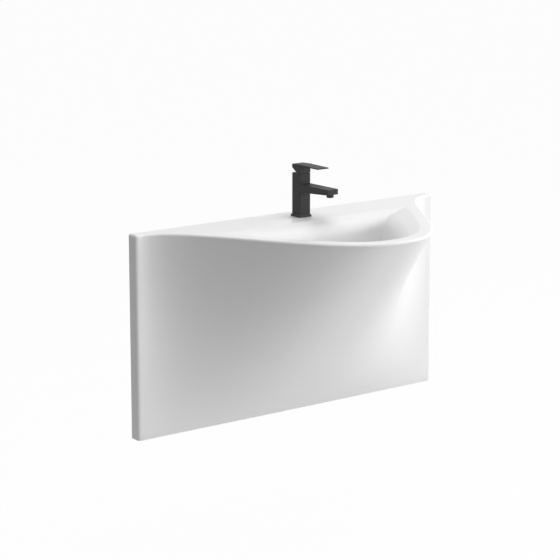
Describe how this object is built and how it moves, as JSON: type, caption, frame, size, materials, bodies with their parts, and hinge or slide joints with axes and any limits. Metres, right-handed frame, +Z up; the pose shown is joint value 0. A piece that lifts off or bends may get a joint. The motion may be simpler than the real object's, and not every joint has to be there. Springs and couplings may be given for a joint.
{
  "type": "wall hung basin",
  "caption": "Wide wall hung basin with a flat back ledge, a bowl under a bell-shaped rim, a full-height apron that slopes back to the wall, and a square lever tap",
  "frame": {"origin": "centre of the four wall bolts, on the wall's face", "axes": "+X along the wall to the right as seen from the room, +Y into the wall, +Z up; the room is on the -Y side"},
  "size_m": [1, 0.4939, 0.6892],
  "materials": {
    "shell_stone": "satin white cast mineral",
    "black_metal": "satin black coat over brass",
    "bright_steel": "zinc plated steel",
    "bare_brass": "turned brass",
    "black_rubber": "moulded black rubber",
    "white_plastic": "moulded white plastic",
    "grey_plastic": "moulded grey plastic",
    "disc_ceramic": "ground ceramic"
  },
  "bodies": {
    "basin": {"aerator_housing": "black_metal", "aerator_insert": "grey_plastic", "aerator_seal": "black_rubber", "basin_shell": "shell_stone", "bracket_pads": "black_rubber", "bracket_screws": "bright_steel", "bracket_washers": "bright_steel", "cartridge_housing": "grey_plastic", "cartridge_nut": "bare_brass", "cartridge_seals": "black_rubber", "clamp_nut": "bright_steel", "clamp_plate": "bright_steel", "clamp_rubber_washer": "black_rubber", "clamp_stud": "bright_steel", "cup_seal": "black_rubber", "deck_inserts": "bare_brass", "elbow_nut": "white_plastic", "elbow_washer": "black_rubber", "fixed_disc": "disc_ceramic", "inlet_nut": "white_plastic", "inlet_seal": "black_rubber", "outlet_nut": "white_plastic", "outlet_pipe": "white_plastic", "outlet_seal": "black_rubber", "plug_guide": "grey_plastic", "tap_base_gasket": "black_rubber", "tap_body": "black_metal", "trap_cup": "white_plastic", "trap_elbow": "white_plastic", "trap_head": "white_plastic", "wall_bracket_left": "bright_steel", "wall_bracket_right": "bright_steel", "waste_body": "black_metal", "waste_gasket": "black_rubber", "waste_nut": "bare_brass", "waste_washer": "black_rubber"},
    "swivel": {"cartridge_rotor": "grey_plastic", "moving_disc": "disc_ceramic", "pivot_pin": "bright_steel"},
    "handle": {"lever": "black_metal", "lever_stem": "bare_brass", "lever_grub_screw": "bright_steel"},
    "plug": {"waste_plug": "black_metal", "plug_seal": "black_rubber", "plug_stem": "bare_brass"}
  },
  "joints": [
    {"name": "lever_swivel", "type": "hinge", "parent": "basin", "child": "swivel", "pos_m": [0, -0.072, 0.182], "axis": [0, 0, 1], "range_deg": [-45, 45]},
    {"name": "lever_lift", "type": "hinge", "parent": "swivel", "child": "handle", "pos_m": [0, -0.072, 0.182], "axis": [-1, 0, 0], "range_deg": [0, 24]},
    {"name": "plug_slide", "type": "slide", "parent": "basin", "child": "plug", "axis": [0, 0, 1], "range_m": [0, 0.006]}
  ]
}
